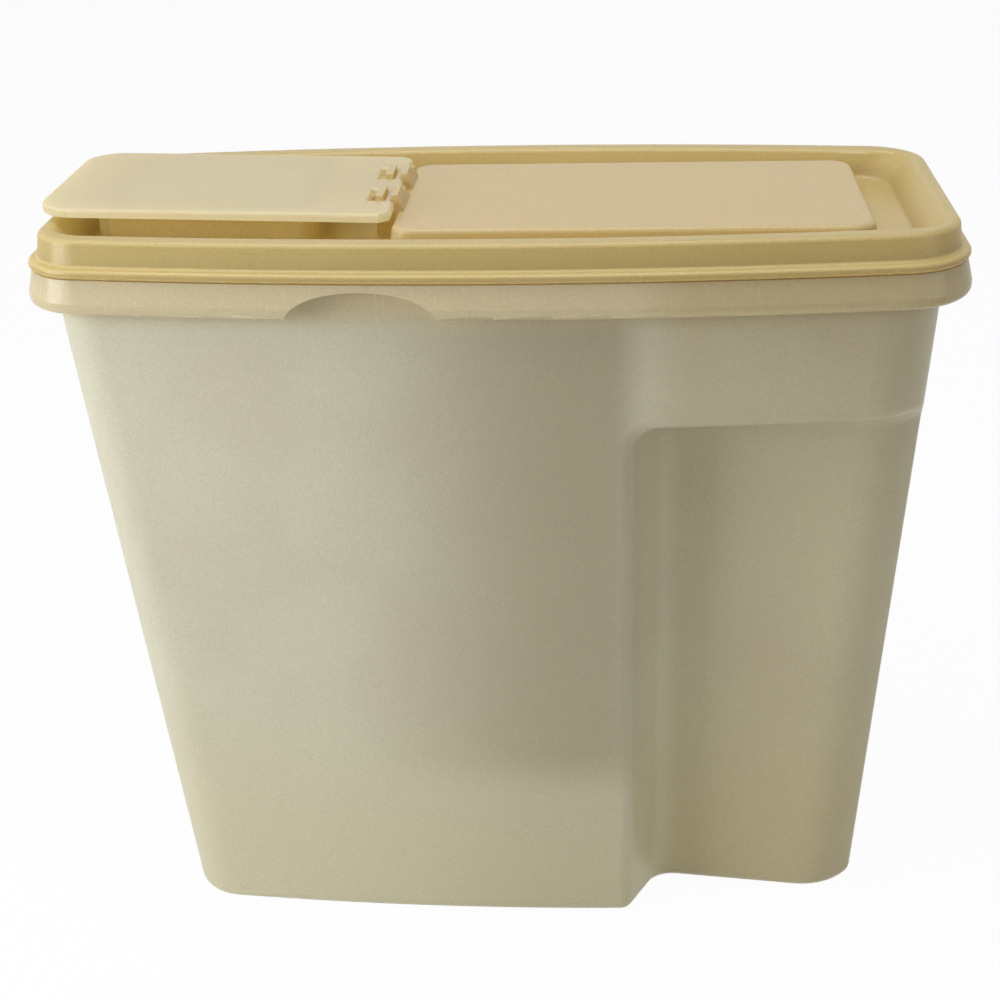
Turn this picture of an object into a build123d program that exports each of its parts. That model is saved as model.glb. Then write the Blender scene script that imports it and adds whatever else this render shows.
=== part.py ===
from build123d import *
import math
import os

# Dry-food keeper: a tapered body with a waisted grip end, a lid that snaps over the rim and a flip-up pour flap.
# Millimetres. X runs along the length, with the pour end at -X and the grip end at +X.
# Y is the width, Z is up, and the origin is the middle of the overall footprint at table height.

# Outline that the rim, the skirt and the walls share: long sides bow outwards
side_bow = 8.0
rim_half_length = 122.1
rim_half_width = 46.4
rim_corner_radius = 14.0
rim_grip_radius = 17.0

# Body walls, measured in from the rim's outline and down from its height
body_rim_height = 213.0
wall = 1.8
floor_thickness = 2.2
base_pour_inset = 22.5
base_grip_inset = 16.4
base_side_inset = 11.2
base_corner_radius = 15.0
base_edge_radius = 4.0
shoulder_drop = 15.0
shoulder_end_inset = 2.7
shoulder_side_inset = 2.8
shoulder_corner_radius = 14.5
grip_corner_radius = 20.0
neck_flare = 0.2

base_pour_reach = rim_half_length - base_pour_inset
base_grip_reach = rim_half_length - base_grip_inset
base_half_width = rim_half_width - base_side_inset
shoulder_height = body_rim_height - shoulder_drop
shoulder_half_length = rim_half_length - shoulder_end_inset
shoulder_half_width = rim_half_width - shoulder_side_inset

# Body rim and the skirt round it
rim_bead_height = 4.0
rim_clearance = 0.3
skirt_drop = 6.2
skirt_height = 9.4
skirt_lip_height = 3.2
skirt_top_outset = 2.3
skirt_outset = 3.8
skirt_wall = 2.4
skirt_lip_radius = 2.1

skirt_top = body_rim_height - skirt_drop
skirt_bottom = skirt_top - skirt_height
skirt_widest = skirt_bottom + skirt_lip_height

# Thumb notch in the skirt, on the front long side
notch_centre_x = -33.2
notch_half_width = 19.7
notch_rise = 7.6
notch_wall_gap = 0.5

# Grip recess down both long sides of the grip end
grip_top_drop = 35.0
grip_step_x = 36.4
grip_step_run = 9.5
grip_step_radius = 8.0
waist_depth_base = 11.3
waist_depth_top = 11.8
grip_swell = 5.0
grip_end_radius = 19.0
grip_end_overrun = 2.0
grip_end_angle = 20.0
grip_ledge_radius = 5.0
grip_arris_radius = 4.4

grip_top = shoulder_height - grip_top_drop

# Lid rim
lid_wall = 1.7
lid_rise = 3.5
lid_height = 9.4
lid_skirt_flare = 0.8
lid_side_draft = 1.5
lid_bead_outset = 3.0
lid_bead_height = 2.5
lid_bead_radius = 1.15
lid_bead_root_radius = 0.8
lid_crest_radius = 1.5
crest_width_end = 3.7
crest_width_side = 7.2

lid_top = body_rim_height + lid_rise
lid_bottom = lid_top - lid_height
lid_bead_top = lid_bottom + lid_bead_height

# Lid tray: the sunk floor inside the rim
tray_depth = 8.0
tray_thickness = 1.3
tray_end_slope = 6.4
tray_side_slope = 2.3
tray_corner_radius = 10.0
tray_edge_radius = 1.6

tray_floor = lid_top - tray_depth

# Pour flap, and the hinge's two moulded pins in two snap clips on the lid
flap_rise = 2.0
flap_slope = 1.5
flap_thickness = 2.3
flap_overhang = 1.9
flap_side_inset = 14.9
flap_corner_radius = 11.0
flap_edge_radius = 0.9
flap_seat_gap = 0.3
plug_clearance = 0.5
plug_wall = 1.4
plug_depth = 5.0
plug_chamfer = 0.5
finger_reach = 1.9
finger_chamfer = 2.4
finger_tip_chamfer = 1.0
pin_x = -29.8
pin_depth = 1.3
pin_radius = 1.2
pin_clearance = 0.08
pin_root = 0.5
clip_spacing = 23.0
window_length = 11.8
window_reach = 5.5

flap_top = lid_top + flap_rise
flap_bottom = flap_top - flap_thickness
flap_left = -rim_half_length - flap_overhang
flap_half_width = rim_half_width - flap_side_inset
pin_z = flap_top - pin_depth

# Raised plateau on the grip side of the tray
plateau_drop = 1.2
plateau_hinge_gap = 2.7
plateau_end_inset = 21.6
plateau_side_inset = 11.6
plateau_left_corner_radius = 5.5
plateau_right_corner_radius = 6.5
plateau_draft = 1.1
plateau_edge_radius = 1.5

plateau_top = lid_top - plateau_drop
plateau_left = pin_x + plateau_hinge_gap
plateau_right = rim_half_length - plateau_end_inset
plateau_half_width = rim_half_width - plateau_side_inset

# Pour port and its collar, under the flap
collar_end_inset = 13.6
collar_hinge_gap = 18.2
collar_side_inset = 18.9
collar_wall = 1.8
collar_corner_radius = 5.0

collar_left = -rim_half_length + collar_end_inset
collar_right = pin_x - collar_hinge_gap
collar_half_width = rim_half_width - collar_side_inset
collar_top = flap_bottom - flap_seat_gap

# Snap clips and the sloped hooks beside them
clip_side_gap = 0.45
clip_left_reach = 3.2
clip_rise = 1.2
clip_mouth = 2.2
hook_gap = 0.5
hook_top_width = 0.5
hook_drop = 0.1
hook_foot_inset = 1.8
hook_overhang = 4.0

clip_top = flap_top + clip_rise
hook_top = flap_top - hook_drop
hook_foot_x = plateau_left + hook_foot_inset

# Reach of a cutting shape past the piece that it cuts
overcut = 30.0


def bowed_outline(z, left, right, half_width, corner_radius, right_radius=None):
    """Flat face at height z: straight ends, bowed long sides, rounded corners."""
    def reach_at(x):
        return half_width + side_bow * (1 - (x / rim_half_length) ** 2)
    middle = (left + right) / 2
    front = ThreePointArc((left, -reach_at(left)), (middle, -reach_at(middle)), (right, -reach_at(right)))
    back = ThreePointArc((right, reach_at(right)), (middle, reach_at(middle)), (left, reach_at(left)))
    ends = [Line(front @ 1, back @ 0), Line(back @ 1, front @ 0)]
    flat = make_face([front, ends[0], back, ends[1]])
    flat = fillet(flat.vertices().group_by(Axis.X)[0], corner_radius)
    return Pos(0, 0, z) * fillet(flat.vertices().group_by(Axis.X)[-1], right_radius or corner_radius)


def rim_outline(z, outset, side_draft=0):
    """The lid rim's outline at height z, grown by outset, with its sides drawn in by side_draft."""
    reach = rim_half_length + outset
    half_width = rim_half_width + outset - side_draft
    return bowed_outline(z, -reach, reach, half_width, rim_corner_radius + outset, rim_grip_radius + outset)


def slab(outline, height):
    return extrude(outline, height, dir=(0, 0, 1))


def column(low, high):
    """Straight-sided solid between two outlines."""
    return loft([low, high], ruled=True)


def rounded_box(left, right, half_width, corner_radius, z):
    middle = (left + right) / 2
    return Pos(middle, 0, z) * RectangleRounded(right - left, 2 * half_width, corner_radius)


def edges_at(solid, z, tolerance=0.01):
    """Edges that lie wholly at height z."""
    flat = [e for e in solid.edges() if e.bounding_box().size.Z < tolerance]
    return ShapeList(e for e in flat if abs(e.center().Z - z) < tolerance)


def flat_face_at(solid, z, tolerance=0.01):
    """The flat face of a solid at height z."""
    flat = [f for f in solid.faces() if f.bounding_box().size.Z < tolerance]
    return [f for f in flat if abs(f.center().Z - z) < tolerance][0]


def shared_edges(solid, first, second, tolerance=0.005):
    """Edges of a solid, above its base, that lie on the surfaces of two others."""
    shells = [Shell(first.faces()), Shell(second.faces())]
    base = edges_at(solid, 0)
    found = []
    for edge in solid.edges():
        points = [edge @ t for t in (0.1, 0.5, 0.9)]
        on_both = all(shell.distance_to(p) < tolerance for shell in shells for p in points)
        if on_both and edge not in base:
            found.append(edge)
    return ShapeList(found)


# Body

def body_envelope(inset):
    """Tapered walls from the base to the rim, drawn in by inset, without the grip recess."""
    grip_radius = grip_corner_radius - inset
    base = bowed_outline(0, -base_pour_reach + inset, base_grip_reach - inset,
                         base_half_width - inset, base_corner_radius - inset, grip_radius)
    half = shoulder_half_length - inset
    width = shoulder_half_width - inset
    radius = shoulder_corner_radius - inset
    shoulder = bowed_outline(shoulder_height, -half, half, width, radius, grip_radius)
    neck = bowed_outline(body_rim_height, -half - neck_flare, half + neck_flare, width + neck_flare, radius)
    return column(base, shoulder) + column(shoulder, neck)


def wall_reach(z, base_value, shoulder_value):
    """A size of the tapered wall at height z."""
    return base_value + (shoulder_value - base_value) * z / shoulder_height


def grip_section(z, inset):
    """Area beside the grip at height z, outside its waisted front wall."""
    end_x = wall_reach(z, base_grip_reach, shoulder_half_length)
    side = wall_reach(z, base_half_width, shoulder_half_width)
    waist = side - waist_depth_base - (waist_depth_top - waist_depth_base) * z / grip_top - inset
    arris_y = side + side_bow * (1 - (grip_step_x / rim_half_length) ** 2)
    depth = arris_y - (waist + inset)
    lean = grip_step_run / depth
    shift = inset * math.hypot(1, lean)

    def step_x(y):
        return grip_step_x - shift + (arris_y - y) * lean
    far_y = arris_y + overcut
    start = Vector(step_x(far_y), -far_y)
    foot = Vector(step_x(waist), -waist)
    # The waist wall flares outwards, then turns round the end of the grip
    centre_x = end_x + grip_end_overrun - grip_end_radius * math.cos(math.radians(grip_end_angle))
    flare = math.atan2(grip_swell, centre_x - foot.X)
    radius = grip_end_radius - inset
    centre = Vector(centre_x, -(waist + inset + grip_swell) + grip_end_radius)
    turn_angles = [-math.pi / 2 - flare, -math.radians(grip_end_angle)]
    middle_angle = sum(turn_angles) / 2
    turn = [centre + Vector(radius * math.cos(a), radius * math.sin(a))
            for a in (turn_angles[0], middle_angle, turn_angles[1])]
    outside_x = end_x + overcut
    lines = [
        Line(start, foot),
        Line(foot, turn[0]),
        ThreePointArc(*turn),
        Line(turn[2], (outside_x, turn[2].Y)),
        Line((outside_x, turn[2].Y), (outside_x, start.Y)),
        Line((outside_x, start.Y), start),
    ]
    flat = make_face(lines)
    corner = flat.vertices().sort_by_distance((foot.X, foot.Y, 0))[0]
    return Pos(0, 0, z) * fillet(corner, grip_step_radius + inset)


def grip_cutter(inset):
    """What is taken off the front of the grip end; the back is its mirror image."""
    top = grip_top + inset
    cutter = column(grip_section(0, inset), grip_section(top, inset))
    ledge = [e for e in edges_at(cutter, top) if not on_outer_side(e)]
    return fillet(ledge, grip_ledge_radius + inset)


def on_outer_side(edge):
    """True for the edges of a grip section that lie clear of the body."""
    end_x = wall_reach(grip_top, base_grip_reach, shoulder_half_length)
    middle = edge @ 0.5
    side = wall_reach(grip_top, base_half_width, shoulder_half_width) + side_bow
    return middle.X > end_x + grip_end_overrun + 1 or middle.Y < -side - overcut / 2


def body_form(inset):
    """Walls with the grip recess on both sides, drawn in by inset."""
    envelope = body_envelope(inset)
    cutter = grip_cutter(inset)
    return envelope - cutter - mirror(cutter, about=Plane.XZ)


def outer_body():
    form = body_form(0)
    envelope = body_envelope(0)
    cutter = grip_cutter(0)
    for tool in (cutter, mirror(cutter, about=Plane.XZ)):
        arris = shared_edges(form, envelope, tool)
        form = fillet(arris.filter_by(lambda e: e.length > 0.05), grip_arris_radius)
    return fillet(edges_at(form, 0), base_edge_radius)


def skirt():
    """Turned-out skirt below the lid, open underneath, with the thumb notch."""
    upper = column(rim_outline(skirt_widest, skirt_outset), rim_outline(skirt_top, skirt_top_outset))
    lower = slab(rim_outline(skirt_bottom, skirt_outset), skirt_widest - skirt_bottom)
    solid = lower + upper
    solid = fillet(edges_at(solid, skirt_bottom), skirt_lip_radius)
    hollow = slab(rim_outline(skirt_bottom, skirt_outset - skirt_wall), skirt_top - skirt_wall - skirt_bottom)
    gap_y = shoulder_half_width + side_bow * (1 - (notch_centre_x / rim_half_length) ** 2) + notch_wall_gap
    front = Plane((notch_centre_x, -gap_y, skirt_bottom), x_dir=(1, 0, 0), z_dir=(0, -1, 0))
    notch = extrude(front * Ellipse(notch_half_width, notch_rise), overcut)
    return solid - hollow - notch


def body():
    rim_bead = slab(rim_outline(body_rim_height - rim_bead_height, -lid_wall - rim_clearance), rim_bead_height)
    floor = slab(rim_outline(0, overcut), floor_thickness)
    return outer_body() + skirt() + rim_bead - (body_form(wall) - floor)


# Lid

def tray_outline(z, grow):
    """The tray's outline at height z on its sloping walls, grown sideways by grow."""
    depth = (lid_top - z) / (lid_top - tray_floor)
    half_length = rim_half_length - crest_width_end - tray_end_slope * depth + grow
    half_width = rim_half_width - crest_width_side - tray_side_slope * depth + grow
    return bowed_outline(z, -half_length, half_length, half_width, tray_corner_radius + grow)


def lid_shell():
    """Rim, bead and sunk tray, thin all over and open underneath."""
    rim = column(rim_outline(lid_bottom, lid_skirt_flare), rim_outline(lid_top, 0, lid_side_draft))
    rim = fillet(edges_at(rim, lid_top), lid_crest_radius)
    bead = slab(rim_outline(lid_bottom, lid_bead_outset), lid_bead_top - lid_bottom)
    bead = fillet(edges_at(bead, lid_bead_top) + edges_at(bead, lid_bottom), lid_bead_radius)
    solid = rim + bead
    solid = fillet(edges_at(solid, lid_bead_top), lid_bead_root_radius)
    tray = column(tray_outline(tray_floor, 0), tray_outline(lid_top, 0))
    solid = solid - tray
    solid = fillet(flat_face_at(solid, lid_top).inner_wires()[0].edges(), tray_edge_radius)
    solid = fillet(edges_at(solid, tray_floor), tray_edge_radius)
    tray_bottom = tray_floor - tray_thickness
    grown = column(tray_outline(tray_bottom, lid_wall), tray_outline(lid_top, lid_wall))
    under = slab(rim_outline(lid_bottom, -lid_wall), body_rim_height - lid_bottom)
    return solid - (under - grown)


def plateau(grow, top):
    """Raised panel, drafted, grown sideways by grow and cut flat at top."""
    def outline(z, spread):
        left = plateau_left - spread
        right = plateau_right + spread
        flat = Pos((left + right) / 2, 0, z) * Rectangle(right - left, 2 * (plateau_half_width + spread))
        flat = fillet(flat.vertices().group_by(Axis.X)[-1], plateau_right_corner_radius)
        return fillet(flat.vertices().group_by(Axis.X)[0], plateau_left_corner_radius)
    return column(outline(tray_floor, plateau_draft + grow), outline(top, grow))


def sloped(solid):
    """A solid drawn level, turned about the hinge pins to the slope of the closed flap."""
    return Pos(pin_x, 0, pin_z) * Rot(0, flap_slope, 0) * Pos(-pin_x, 0, -pin_z) * solid


def collar(inset, bottom, top):
    outline = rounded_box(collar_left + inset, collar_right - inset, collar_half_width - inset,
                          collar_corner_radius - inset, bottom)
    return slab(outline, top - bottom)


def clip(y):
    """Snap clip for one hinge pin: a post with a round seat, a narrow mouth and a sloped hook."""
    half = window_length / 2 - clip_side_gap
    left = pin_x - clip_left_reach
    base = tray_floor - tray_thickness / 2
    sunk = plateau_top - plateau_edge_radius
    inside_x = plateau_left + plateau_edge_radius
    hook_left = pin_x + math.hypot(finger_reach, flap_top - pin_z) + hook_gap
    hook_right = hook_left + hook_top_width
    post = make_face(Polyline((left, base), (left, clip_top), (hook_left, clip_top), (hook_right, hook_top),
                              (hook_foot_x, plateau_top), (inside_x, sunk), (inside_x, base), (left, base)))
    seat = Pos(pin_x, pin_z) * Circle(pin_radius + pin_clearance)
    mouth = Pos(pin_x, pin_z + overcut / 2) * Rectangle(clip_mouth, overcut)
    hook = make_face(Polyline((hook_left, sunk), (hook_left, hook_top), (hook_right, hook_top),
                              (hook_foot_x, plateau_top), (hook_foot_x, sunk), (hook_left, sunk)))
    solid = Pos(0, y + half, 0) * extrude(Plane.XZ * (post - seat - mouth), 2 * half)
    return solid + Pos(0, y + half + hook_overhang, 0) * extrude(Plane.XZ * hook, 2 * half + hook_overhang)


def lid():
    solid = lid_shell()
    raised = plateau(0, plateau_top)
    raised = fillet(edges_at(raised, plateau_top), plateau_edge_radius)
    seat = sloped(Pos(collar_left, 0, collar_top + overcut / 2) * Box(rim_half_length, rim_half_length, overcut))
    solid = solid + raised + (collar(0, tray_floor - tray_thickness / 2, flap_top) - seat)
    for side in (-1, 1):
        solid = solid + clip(side * clip_spacing / 2)
    hollow = plateau(-tray_thickness, plateau_top - tray_thickness)
    hollow = hollow + slab(Pos(0, 0, -tray_thickness) * flat_face_at(hollow, tray_floor), tray_thickness)
    port = collar(collar_wall, tray_floor - 2 * tray_thickness, flap_top)
    return solid - hollow - port


# Pour flap

def flap_plate():
    right = pin_x + finger_reach
    plate = slab(Pos((flap_left + right) / 2, 0, flap_bottom) * Rectangle(right - flap_left, 2 * flap_half_width),
                 flap_thickness)
    upright = plate.edges().filter_by(Axis.Z)
    plate = fillet(upright.group_by(Axis.X)[0], flap_corner_radius)
    upright = plate.edges().filter_by(Axis.Z)
    return chamfer(upright.group_by(Axis.X)[-1], finger_chamfer)


def window(y):
    """Opening in the flap round one clip, open towards the plateau, its mouth flared."""
    left = pin_x - window_reach
    right = pin_x + finger_reach
    flare = right - finger_tip_chamfer
    near = y - window_length / 2
    far = y + window_length / 2
    flat = make_face(Polyline((left, near), (flare, near), (right, near - finger_tip_chamfer),
                              (right, far + finger_tip_chamfer), (flare, far), (left, far), (left, near)))
    return slab(Pos(0, 0, flap_bottom) * flat, flap_thickness)


def hinge_pin(y):
    length = window_length + 2 * pin_root
    return Pos(pin_x, y, pin_z) * Rot(90, 0, 0) * Cylinder(pin_radius, length)


def plug():
    """Skirt under the flap that closes the pour port."""
    outer = collar_wall + plug_clearance
    ring = collar(outer, flap_bottom - plug_depth, flap_bottom)
    ring = chamfer(edges_at(ring, flap_bottom - plug_depth), plug_chamfer)
    return ring - collar(outer + plug_wall, flap_bottom - plug_depth, flap_bottom)


def flap():
    solid = flap_plate()
    for side in (-1, 1):
        solid = solid - window(side * clip_spacing / 2)
    solid = fillet(edges_at(solid, flap_top), flap_edge_radius)
    for side in (-1, 1):
        solid = solid + hinge_pin(side * clip_spacing / 2)
    return sloped(solid + plug())


os.makedirs("parts", exist_ok=True)
pieces = {"container_body": body(), "lid": lid(), "pour_flap": flap()}
for name, piece in pieces.items():
    export_step(piece, f"parts/{name}.step")
    print(name, round(piece.volume, 1), piece.is_valid)
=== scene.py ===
# %% [markdown]
# # A cereal container in milky polypropylene with a cream lid
#
# The real object is three injection mouldings: a milky see-through body, a
# cream lid that snaps over its rim, and a cream pour flap on two moulded pins.
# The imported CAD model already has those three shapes, so this lesson keeps
# them and gives each one the surface that its plastic has, then builds the
# pale studio and the camera around it.

# %% Load the frame
import math

import bpy
from mathutils import Matrix, Vector

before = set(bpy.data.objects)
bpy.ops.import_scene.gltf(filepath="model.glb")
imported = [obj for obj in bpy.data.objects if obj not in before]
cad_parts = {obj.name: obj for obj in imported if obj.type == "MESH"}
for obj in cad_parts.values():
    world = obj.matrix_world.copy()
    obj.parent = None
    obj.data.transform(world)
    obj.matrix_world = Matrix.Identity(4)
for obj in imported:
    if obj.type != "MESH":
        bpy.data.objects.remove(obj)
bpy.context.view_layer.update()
MM = 0.001


# %% [markdown]
# ## Two helpers
#
# Colours are picked on a screen, where they are sRGB hex values, and
# Blender's shaders work in linear light, so one function turns the first into
# the second. A material is a tree of nodes, and a second function adds one
# node, sets its options, and either sets or links each of its inputs.

# %% Colour and node helpers
def linear(hex_colour):
    """An sRGB colour such as "#D2C9A5" as linear RGBA."""
    channels = [int(hex_colour[i:i + 2], 16) / 255 for i in (1, 3, 5)]
    bright = [c / 12.92 if c <= 0.04045 else ((c + 0.055) / 1.055) ** 2.4 for c in channels]
    return (*bright, 1.0)


def add_node(tree, kind, inputs=None, **settings):
    """One node with its settings; an input is a value to set or a socket to link."""
    node = tree.nodes.new(kind)
    for name, value in settings.items():
        setattr(node, name, value)
    for name, value in (inputs or {}).items():
        if isinstance(value, bpy.types.NodeSocket):
            tree.links.new(value, node.inputs[name])
        else:
            node.inputs[name].default_value = value
    return node


def new_material(name):
    """An empty material and its tree."""
    material = bpy.data.materials.new(name)
    material.use_nodes = True
    material.node_tree.nodes.clear()
    return material, material.node_tree


# Blender's Mix node keeps its colour sockets at these places
FACTOR, FIRST, SECOND, MIXED = 0, 6, 7, 2
print("cream as linear light", [round(v, 3) for v in linear("#E6D7A8")])


# %% [markdown]
# ## What moulded plastic looks like up close
#
# A steel mould leaves a satin grain on the plastic, about 0.4 mm across. The
# melt shrinks unevenly as it cools, so large walls wave by some tenths of a
# millimetre over a few centimetres. Use adds fine scuffs. All three are
# heights, so one chain of Bump nodes makes them, and the scuffs also make the
# surface rougher. The real grain is too fine to show here, so it is drawn at
# 0.9 mm. The colour is never quite even either, so a second function makes it
# a few percent lighter and darker from speck to speck, which keeps large
# walls from looking like paint.

# %% Relief that all three mouldings share
GRAIN_MM, GRAIN_UM = 0.9, 12.0
SPECK_MM, SPECK_SHARE = 0.7, 0.06
WAVE_MM, WAVE_UM = 30.0, 260.0
SCUFF_MM, SCUFF_UM, SCUFF_STRETCH = 1.1, 6.0, 14.0
SCUFF_STARTS, SCUFF_FULL = 0.62, 0.80
SPECK_DARK, SPECK_LIGHT = 0.3, 0.7
UM = 1e-6


def moulded_relief(tree, position, scuff_turn):
    """Normal of a moulded surface, and the mask of its scuffs."""
    waves = add_node(tree, "ShaderNodeTexNoise", {
        "Vector": position, "Scale": 1 / (WAVE_MM * MM), "Detail": 1.0}).outputs["Fac"]
    grain = add_node(tree, "ShaderNodeTexNoise", {
        "Vector": position, "Scale": 1 / (GRAIN_MM * MM), "Detail": 2.0}).outputs["Fac"]
    along = add_node(tree, "ShaderNodeMapping", {
        "Vector": position, "Rotation": scuff_turn,
        "Scale": (1.0, 1.0, 1 / SCUFF_STRETCH)}).outputs["Vector"]
    marks = add_node(tree, "ShaderNodeTexNoise", {
        "Vector": along, "Scale": 1 / (SCUFF_MM * MM), "Detail": 4.0}).outputs["Fac"]
    scuffs = add_node(tree, "ShaderNodeMapRange", {
        "Value": marks, "From Min": SCUFF_STARTS, "From Max": SCUFF_FULL}).outputs["Result"]
    waved = add_node(tree, "ShaderNodeBump", {"Height": waves, "Distance": WAVE_UM * UM})
    grained = add_node(tree, "ShaderNodeBump", {
        "Height": grain, "Distance": GRAIN_UM * UM, "Normal": waved.outputs["Normal"]})
    scuffed = add_node(tree, "ShaderNodeBump", {
        "Height": scuffs, "Distance": SCUFF_UM * UM, "Normal": grained.outputs["Normal"]})
    return scuffed.outputs["Normal"], scuffs


def speckled(tree, position, colour):
    """The colour made a little lighter and darker from grain to grain."""
    specks = add_node(tree, "ShaderNodeTexNoise", {
        "Vector": position, "Scale": 1 / (SPECK_MM * MM), "Detail": 1.0}).outputs["Fac"]
    brightness = add_node(tree, "ShaderNodeMapRange", {
        "Value": specks, "From Min": SPECK_DARK, "From Max": SPECK_LIGHT,
        "To Min": 1 - SPECK_SHARE, "To Max": 1 + SPECK_SHARE}).outputs["Result"]
    return add_node(tree, "ShaderNodeHueSaturation", {
        "Value": brightness, "Color": colour}).outputs["Color"]


print(f"grain {GRAIN_MM} mm, waves {WAVE_MM} mm")
print(f"scuffs {SCUFF_MM} by {SCUFF_MM * SCUFF_STRETCH:.0f} mm")


# %% [markdown]
# ## Natural polypropylene for the body
#
# The body is unpigmented polypropylene, injection moulded 1.8 mm thick. Its
# crystals scatter light, so it is milky: some light comes back, and some goes
# through the wall and lights the inside. A Translucent shader mixed with a
# Principled one gives that glow.
#
# Five tints are laid over one another, each with its own mask. Slow clouds
# drift over some centimetres. Age has turned the lowest part a little yellow,
# and hands have done the same to the rim, which the mould also left glossier
# than the walls. The other two tints are painted shade. A darker band is
# painted on the walls just before the hand hold, growing from the left end
# towards it and fading out above the floor of the box, where less light comes
# through the walls. Past it the hand hold is painted darker and warmer, as
# painted shade too. Each mask is a Map Range from one place in millimetres to
# another, because the tints have places, and a smooth step keeps their edges
# soft.

# %% Polypropylene, moulded and milky
PP_IOR = 1.49
PP_SATIN, PP_POLISHED, PP_SCUFFED = 0.30, 0.24, 0.5
PP_THROUGH_SHARE = 0.3
PP_SCUFF_DEGREES = 24.0
PP_PALE = linear("#ECEAD5")
PP_CLOUDED = linear("#E9E4D0")
PP_AGED = linear("#ECE6C8")
PP_HANDLED = linear("#E4D6B1")
PP_LIT_THROUGH = linear("#EEEBD6")
# painted shade: the darker band on the walls just before the hand hold
PP_PAINTED_SHADE_BAND = linear("#B7AB8E")
# painted shade: the hand hold multiplied darker and warmer
PP_GRIP_SHADE = linear("#F0EADC")
CLOUD_MM, CLOUD_FROM, CLOUD_FULLY = 45.0, 0.38, 0.62
AGED_BELOW_MM, AGED_FULLY_MM = 95.0, 15.0
HANDLED_ABOVE_MM, HANDLED_FULLY_MM = 190.0, 200.0
BAND_FROM_MM, BAND_FULLY_MM, BAND_UP_TO_MM, BAND_ENDS_MM = -55.0, 22.0, 31.0, 43.0
BAND_FULL_ABOVE_MM, BAND_FAINT_BELOW_MM = 62.0, 42.0
BAND_SHARE, BAND_LOW_SHARE = 0.75, 0.35
GRIP_SHADE_FROM_MM, GRIP_SHADE_FULLY_MM = 34.0, 54.0


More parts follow.
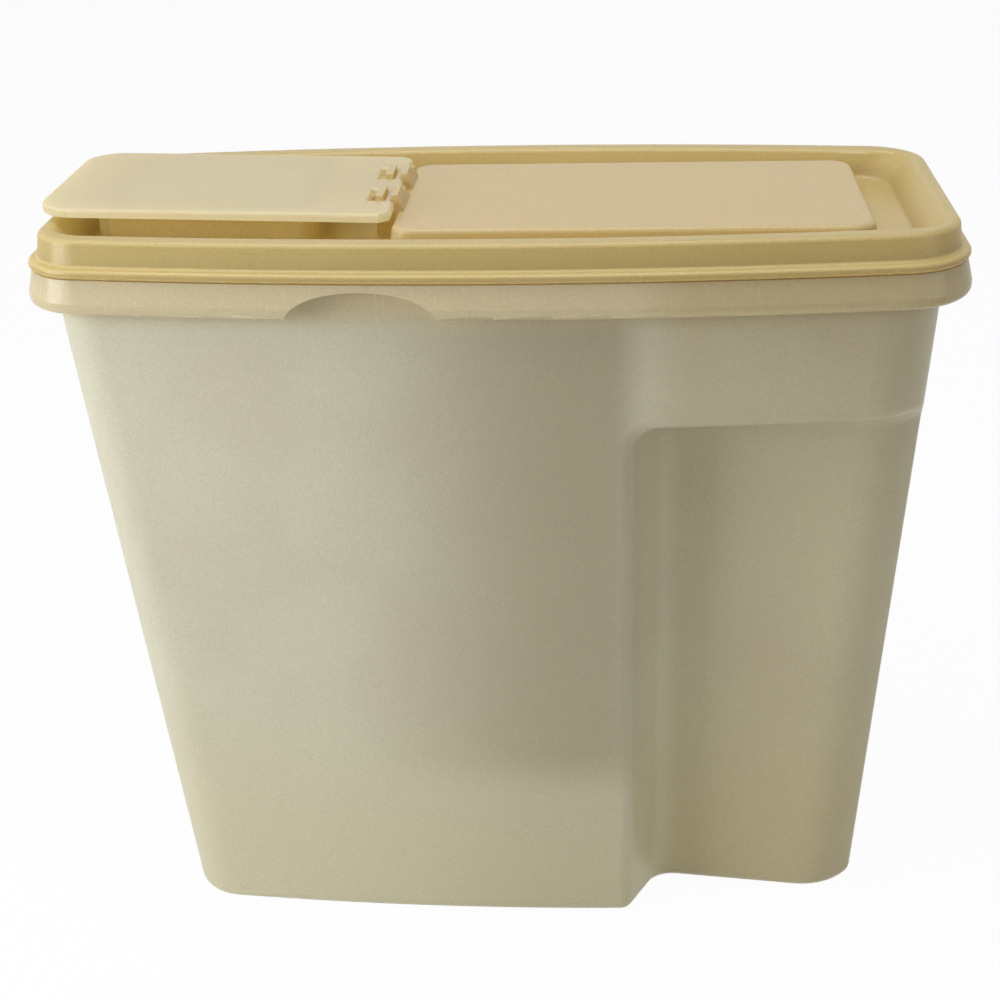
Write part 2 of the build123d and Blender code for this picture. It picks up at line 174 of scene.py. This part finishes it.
def polypropylene_moulded_milky():
    material, tree = new_material("polypropylene_moulded_milky")
    position = add_node(tree, "ShaderNodeTexCoord").outputs["Object"]
    place = add_node(tree, "ShaderNodeSeparateXYZ", {"Vector": position})
    along, height = place.outputs["X"], place.outputs["Z"]
    normal, scuffs = moulded_relief(tree, position, (0.0, math.radians(PP_SCUFF_DEGREES), 0.0))
    cloud = add_node(tree, "ShaderNodeTexNoise", {
        "Vector": position, "Scale": 1 / (CLOUD_MM * MM), "Detail": 2.0}).outputs["Fac"]
    clouded = add_node(tree, "ShaderNodeMapRange", {
        "Value": cloud, "From Min": CLOUD_FROM, "From Max": CLOUD_FULLY},
        interpolation_type="SMOOTHSTEP").outputs["Result"]
    aged = add_node(tree, "ShaderNodeMapRange", {
        "Value": height, "From Min": AGED_BELOW_MM * MM, "From Max": AGED_FULLY_MM * MM},
        interpolation_type="SMOOTHSTEP").outputs["Result"]
    handled = add_node(tree, "ShaderNodeMapRange", {
        "Value": height, "From Min": HANDLED_ABOVE_MM * MM, "From Max": HANDLED_FULLY_MM * MM},
        interpolation_type="SMOOTHSTEP").outputs["Result"]
    # painted shade: the band darkens the walls from the left end towards the hand hold, and fades
    # out above the floor
    darkening = add_node(tree, "ShaderNodeMapRange", {
        "Value": along, "From Min": BAND_FROM_MM * MM, "From Max": BAND_FULLY_MM * MM,
        "To Max": BAND_SHARE}, interpolation_type="SMOOTHSTEP").outputs["Result"]
    before_hold = add_node(tree, "ShaderNodeMapRange", {
        "Value": along, "From Min": BAND_ENDS_MM * MM, "From Max": BAND_UP_TO_MM * MM},
        interpolation_type="SMOOTHSTEP").outputs["Result"]
    above_floor = add_node(tree, "ShaderNodeMapRange", {
        "Value": height, "From Min": BAND_FAINT_BELOW_MM * MM, "From Max": BAND_FULL_ABOVE_MM * MM,
        "To Min": BAND_LOW_SHARE}, interpolation_type="SMOOTHSTEP").outputs["Result"]
    band = add_node(tree, "ShaderNodeMath", {
        0: darkening, 1: before_hold}, operation="MULTIPLY").outputs["Value"]
    band_here = add_node(tree, "ShaderNodeMath", {
        0: band, 1: above_floor}, operation="MULTIPLY").outputs["Value"]
    tint = add_node(tree, "ShaderNodeMix", {
        FACTOR: clouded, FIRST: PP_PALE, SECOND: PP_CLOUDED}, data_type="RGBA").outputs[MIXED]
    lower = add_node(tree, "ShaderNodeMix", {
        FACTOR: aged, FIRST: tint, SECOND: PP_AGED}, data_type="RGBA").outputs[MIXED]
    shade_banded = add_node(tree, "ShaderNodeMix", {
        FACTOR: band_here, FIRST: lower, SECOND: PP_PAINTED_SHADE_BAND}, data_type="RGBA").outputs[MIXED]
    rimmed = add_node(tree, "ShaderNodeMix", {
        FACTOR: handled, FIRST: shade_banded, SECOND: PP_HANDLED}, data_type="RGBA").outputs[MIXED]
    # painted shade: past the band the hand hold is multiplied darker and warmer
    grip_shaded = add_node(tree, "ShaderNodeMapRange", {
        "Value": along, "From Min": GRIP_SHADE_FROM_MM * MM, "From Max": GRIP_SHADE_FULLY_MM * MM},
        interpolation_type="SMOOTHSTEP").outputs["Result"]
    colour = add_node(tree, "ShaderNodeMix", {
        FACTOR: grip_shaded, FIRST: rimmed, SECOND: PP_GRIP_SHADE},
        data_type="RGBA", blend_type="MULTIPLY").outputs[MIXED]
    polish = add_node(tree, "ShaderNodeMapRange", {
        "Value": handled, "To Min": PP_SATIN, "To Max": PP_POLISHED}).outputs["Result"]
    roughness = add_node(tree, "ShaderNodeMapRange", {
        "Value": scuffs, "To Min": polish, "To Max": PP_SCUFFED}).outputs["Result"]
    skin = add_node(tree, "ShaderNodeBsdfPrincipled", {
        "Base Color": speckled(tree, position, colour), "Roughness": roughness,
        "IOR": PP_IOR, "Normal": normal})
    through = add_node(tree, "ShaderNodeBsdfTranslucent", {
        "Color": PP_LIT_THROUGH, "Normal": normal})
    wall = add_node(tree, "ShaderNodeMixShader", {
        0: PP_THROUGH_SHARE, 1: skin.outputs["BSDF"], 2: through.outputs["BSDF"]})
    add_node(tree, "ShaderNodeOutputMaterial", {"Surface": wall.outputs["Shader"]})
    return material


body_plastic = polypropylene_moulded_milky()
print(body_plastic.name, len(body_plastic.node_tree.nodes), "nodes")


# %% [markdown]
# ## Cream polyethylene for the lid and the flap
#
# The lid and the flap are low-density polyethylene with a cream pigment. It
# is softer and waxier than the body, and it scuffs easily. The pigment blocks
# most of the light, and the little that passes through the lid turns amber,
# which shows in the narrow gap under the flap. The flap is thinner and lets
# more through, so its glow is paler.
#
# The raised panel and the flap are painted a paler, whiter cream than the rim:
# painted sheen, standing in for the whitish sheen that their upward faces show.
# So the panel gets a mask from its place on the lid. The outer wall is painted
# deeper in tone: painted shade on its steep outer faces. Its mask asks two
# things of each point: is the face steep, and does it look outwards from far
# off the middle? The second is the dot product of the normal and the place.

# %% Polyethylene, moulded and cream
PE_IOR = 1.51
PE_SATIN, PE_SCUFFED = 0.30, 0.5
LID_THROUGH_SHARE, FLAP_THROUGH_SHARE = 0.3, 0.5
PE_CREAM = linear("#E4D597")
PE_CREAM_DEEP = linear("#DDCC8C")
# painted sheen: a paler, whiter cream for the raised panel and the flap
PE_PALE_SHEEN = linear("#E6DAB2")
PE_PALE_SHEEN_THIN = linear("#F2EDD4")
PE_AMBER_THROUGH = linear("#F8D640")
PE_PALE_THROUGH = linear("#F3EACB")
# painted shade: the steep outer walls drawn deeper in tone
PE_OUTER_SHADE = linear("#E3E4DF")
PANEL_SHEEN_SHARE = 0.6
TINT_DRIFT_MM = 35.0
PANEL_X_MM, PANEL_HALF_Y_MM, PANEL_LOW_MM = (-37.0, 100.0), 34.0, 213.5
PANEL_FADE_MM = 2.0
OUTER_WALL_FROM_MM, OUTER_WALL_FULLY_MM = 42.0, 50.0
STEEP_FROM, STEEP_FULLY = 0.55, 0.25
PE_SCUFF_DEGREES = (88.0, 0.0, 35.0)
FLAP_SHEEN_LEAST = 0.85


def inside_band(tree, value, low_mm, high_mm):
    """1 between two heights or places, fading to 0 over PANEL_FADE_MM outside them."""
    above = add_node(tree, "ShaderNodeMapRange", {
        "Value": value, "From Min": (low_mm - PANEL_FADE_MM) * MM,
        "From Max": low_mm * MM}).outputs["Result"]
    below = add_node(tree, "ShaderNodeMapRange", {
        "Value": value, "From Min": (high_mm + PANEL_FADE_MM) * MM,
        "From Max": high_mm * MM}).outputs["Result"]
    inside = add_node(tree, "ShaderNodeMath", {0: above, 1: below}, operation="MULTIPLY")
    return inside.outputs["Value"]


def outward_walls(tree, position):
    """1 on steep faces that look outwards from far off the middle of the part, else 0."""
    facing = add_node(tree, "ShaderNodeTexCoord").outputs["Normal"]
    level = add_node(tree, "ShaderNodeVectorMath", {
        0: position, 1: (1.0, 1.0, 0.0)}, operation="MULTIPLY")
    outward = add_node(tree, "ShaderNodeVectorMath", {
        0: facing, 1: level.outputs["Vector"]}, operation="DOT_PRODUCT")
    outside = add_node(tree, "ShaderNodeMapRange", {
        "Value": outward.outputs["Value"], "From Min": OUTER_WALL_FROM_MM * MM,
        "From Max": OUTER_WALL_FULLY_MM * MM}).outputs["Result"]
    tilt = add_node(tree, "ShaderNodeSeparateXYZ", {"Vector": facing}).outputs["Z"]
    slope = add_node(tree, "ShaderNodeMath", {0: tilt}, operation="ABSOLUTE").outputs["Value"]
    steep = add_node(tree, "ShaderNodeMapRange", {
        "Value": slope, "From Min": STEEP_FROM, "From Max": STEEP_FULLY}).outputs["Result"]
    outer = add_node(tree, "ShaderNodeMath", {0: outside, 1: steep}, operation="MULTIPLY")
    return outer.outputs["Value"]


def polyethylene_moulded_cream(name, sheen_all_over, pale_sheen, through_share, through_colour):
    material, tree = new_material(name)
    position = add_node(tree, "ShaderNodeTexCoord").outputs["Object"]
    scuff_turn = [math.radians(degrees) for degrees in PE_SCUFF_DEGREES]
    normal, scuffs = moulded_relief(tree, position, scuff_turn)
    drift = add_node(tree, "ShaderNodeTexNoise", {
        "Vector": position, "Scale": 1 / (TINT_DRIFT_MM * MM), "Detail": 2.0}).outputs["Fac"]
    cream = add_node(tree, "ShaderNodeMix", {
        FACTOR: drift, FIRST: PE_CREAM, SECOND: PE_CREAM_DEEP}, data_type="RGBA").outputs[MIXED]
    # painted sheen: the whole flap, or the raised panel of the lid, turned paler
    if sheen_all_over:
        sheen_share = add_node(tree, "ShaderNodeMapRange", {
            "Value": drift, "To Min": FLAP_SHEEN_LEAST}).outputs["Result"]
    else:
        place = add_node(tree, "ShaderNodeSeparateXYZ", {"Vector": position})
        across = inside_band(tree, place.outputs["Y"], -PANEL_HALF_Y_MM, PANEL_HALF_Y_MM)
        lengthways = inside_band(tree, place.outputs["X"], *PANEL_X_MM)
        high = add_node(tree, "ShaderNodeMapRange", {
            "Value": place.outputs["Z"], "From Min": (PANEL_LOW_MM - PANEL_FADE_MM) * MM,
            "From Max": PANEL_LOW_MM * MM}).outputs["Result"]
        panel = add_node(tree, "ShaderNodeMath", {0: across, 1: lengthways}, operation="MULTIPLY")
        raised = add_node(tree, "ShaderNodeMath", {
            0: panel.outputs["Value"], 1: high}, operation="MULTIPLY")
        sheen_share = add_node(tree, "ShaderNodeMath", {
            0: raised.outputs["Value"], 1: PANEL_SHEEN_SHARE},
            operation="MULTIPLY").outputs["Value"]
    sheened = add_node(tree, "ShaderNodeMix", {
        FACTOR: sheen_share, FIRST: cream, SECOND: pale_sheen}, data_type="RGBA").outputs[MIXED]
    # painted shade: steep faces looking outwards are multiplied deeper in tone
    colour = add_node(tree, "ShaderNodeMix", {
        FACTOR: outward_walls(tree, position), FIRST: sheened, SECOND: PE_OUTER_SHADE},
        data_type="RGBA", blend_type="MULTIPLY").outputs[MIXED]
    roughness = add_node(tree, "ShaderNodeMapRange", {
        "Value": scuffs, "To Min": PE_SATIN, "To Max": PE_SCUFFED}).outputs["Result"]
    skin = add_node(tree, "ShaderNodeBsdfPrincipled", {
        "Base Color": speckled(tree, position, colour), "Roughness": roughness,
        "IOR": PE_IOR, "Normal": normal})
    through = add_node(tree, "ShaderNodeBsdfTranslucent", {
        "Color": through_colour, "Normal": normal})
    wall = add_node(tree, "ShaderNodeMixShader", {
        0: through_share, 1: skin.outputs["BSDF"], 2: through.outputs["BSDF"]})
    add_node(tree, "ShaderNodeOutputMaterial", {"Surface": wall.outputs["Shader"]})
    return material


lid_plastic = polyethylene_moulded_cream(
    "polyethylene_moulded_cream", False, PE_PALE_SHEEN, LID_THROUGH_SHARE, PE_AMBER_THROUGH)
flap_plastic = polyethylene_moulded_cream(
    "polyethylene_moulded_cream_pale_sheen", True, PE_PALE_SHEEN_THIN, FLAP_THROUGH_SHARE, PE_PALE_THROUGH)
print(lid_plastic.name, flap_plastic.name)


# %% [markdown]
# ## Each moulding gets its plastic
#
# The CAD nodes keep their meshes, so only the material in each slot changes.
# The two slots of the record are the body's plastic and the lid's plastic.

# %% Assign the plastics
PLASTICS = {"container_body": body_plastic, "lid": lid_plastic, "pour_flap": flap_plastic}
for node, plastic in PLASTICS.items():
    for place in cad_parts[node].material_slots:
        place.material = plastic
    print(node, plastic.name, len(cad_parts[node].data.polygons), "faces")


# %% [markdown]
# ## A white table that keeps the shadow
#
# The container stands on a plain white surface that runs out of the picture.
# To the camera, to gloss and through clear things it is mostly an even white,
# and the rest of its shader is ordinary white paint, which keeps the soft
# shadow under the container and throws light back up on to the walls.

# %% Floor
FLOOR_HALF_M = 4.0
FLOOR_PAINT = linear("#F2F2F0")
WHITE = linear("#FFFFFF")
FLOOR_EVEN_SHARE = 0.96


def seen_directly(tree):
    """1 for rays from the camera, from gloss and through clear things, else 0."""
    path = add_node(tree, "ShaderNodeLightPath")
    either = add_node(tree, "ShaderNodeMath", {
        0: path.outputs["Is Camera Ray"], 1: path.outputs["Is Glossy Ray"]}, operation="MAXIMUM")
    any_of_them = add_node(tree, "ShaderNodeMath", {
        0: either.outputs["Value"], 1: path.outputs["Is Transmission Ray"]}, operation="MAXIMUM")
    return any_of_them.outputs["Value"]


def paint_even_white():
    material, tree = new_material("paint_even_white")
    share = add_node(tree, "ShaderNodeMath", {
        0: seen_directly(tree), 1: FLOOR_EVEN_SHARE}, operation="MULTIPLY").outputs["Value"]
    paint = add_node(tree, "ShaderNodeBsdfDiffuse", {"Color": FLOOR_PAINT}).outputs["BSDF"]
    even = add_node(tree, "ShaderNodeEmission", {
        "Color": WHITE, "Strength": 1.0}).outputs["Emission"]
    mixed = add_node(tree, "ShaderNodeMixShader", {0: share, 1: paint, 2: even}).outputs["Shader"]
    add_node(tree, "ShaderNodeOutputMaterial", {"Surface": mixed})
    return material


corners = [(x * FLOOR_HALF_M, y * FLOOR_HALF_M, 0.0)
           for x, y in ((-1, -1), (1, -1), (1, 1), (-1, 1))]
floor_mesh = bpy.data.meshes.new("floor")
floor_mesh.from_pydata(corners, [], [(0, 1, 2, 3)])
floor_mesh.materials.append(paint_even_white())
floor = bpy.data.objects.new("floor", floor_mesh)
bpy.context.scene.collection.objects.link(floor)
print("floor", 2 * FLOOR_HALF_M, "m square")


# %% [markdown]
# ## Soft light from the left and above
#
# A softbox stands close on the left, so its light falls off along the wall:
# the left end is bright and the hand hold is a quiet grey. A far lamp would
# light both ends alike. A large softbox overhead makes the upward faces the
# brightest of all. A weak reflector on the right opens the shadow inside the
# hand hold, and one small bulb in front brings out the sparkle of the grain.
# Each lamp comes from its place, size and power, and is aimed at the middle
# of the container.

# %% Lamps and surroundings
AIM = Vector((0.0, 0.0, 0.12))
LAMPS = {
    "softbox_left": {"place": (-0.5, -0.28, 0.3), "size": 0.3, "power": 1.85},
    "softbox_top": {"place": (-0.15, -0.12, 1.5), "size": 1.2, "power": 15.0},
    "reflector_right": {"place": (1.2, -0.7, 0.6), "size": 0.8, "power": 3.0},
    "bulb_front": {"place": (-0.35, -1.06, 0.6), "size": 0.1, "power": 0.4},
}


def add_lamp(name, place, size, power):
    data = bpy.data.lights.new(name, "AREA")
    data.shape = "SQUARE"
    data.size = size
    data.energy = power
    lamp = bpy.data.objects.new(name, data)
    lamp.location = place
    lamp.rotation_euler = (AIM - Vector(place)).to_track_quat("-Z", "Y").to_euler()
    bpy.context.scene.collection.objects.link(lamp)


for name, facts in LAMPS.items():
    add_lamp(name, **facts)
    print(name, facts["power"], "W from", facts["place"])

world = bpy.data.worlds.new("white_surroundings")
bpy.context.scene.world = world
world.use_nodes = True
world.node_tree.nodes.clear()
strength = seen_directly(world.node_tree)
glow = add_node(world.node_tree, "ShaderNodeBackground", {"Color": WHITE, "Strength": strength})
add_node(world.node_tree, "ShaderNodeOutputWorld", {"Surface": glow.outputs["Background"]})


# %% [markdown]
# ## The camera
#
# The picture is taken from a little above and slightly to the right of the
# middle, with a moderate lens. The camera's aim is given as a turn about the
# vertical, a tilt down and a small roll, and a matrix is built from them.

# %% Camera
CAMERA_PLACE = Vector((0.034731, -0.490030, 0.347232))
CAMERA_TURN = -0.076306
CAMERA_TILT = 0.432161
CAMERA_ROLL = -0.030330
SENSOR_MM = 36.0
LENS_WIDTHS = 1.785121
LENS_MM = SENSOR_MM * LENS_WIDTHS
NEAR_CLIP_M = 0.01

ahead = Vector((math.sin(CAMERA_TURN) * math.cos(CAMERA_TILT),
                math.cos(CAMERA_TURN) * math.cos(CAMERA_TILT),
                -math.sin(CAMERA_TILT)))
level_right = ahead.cross(Vector((0, 0, 1))).normalized()
level_up = level_right.cross(ahead)
right = level_right * math.cos(CAMERA_ROLL) + level_up * math.sin(CAMERA_ROLL)
up = level_up * math.cos(CAMERA_ROLL) - level_right * math.sin(CAMERA_ROLL)
turned = Matrix((right, up, -ahead)).transposed().to_4x4()

camera_data = bpy.data.cameras.new("camera")
camera_data.sensor_width = SENSOR_MM
camera_data.lens = LENS_MM
camera_data.clip_start = NEAR_CLIP_M
camera = bpy.data.objects.new("camera", camera_data)
camera.matrix_world = Matrix.Translation(CAMERA_PLACE) @ turned
bpy.context.scene.collection.objects.link(camera)
bpy.context.scene.camera = camera
bpy.context.scene.view_settings.view_transform = "Standard"
print(f"lens {LENS_MM:.1f} mm, tilt {math.degrees(CAMERA_TILT):.1f} degrees")
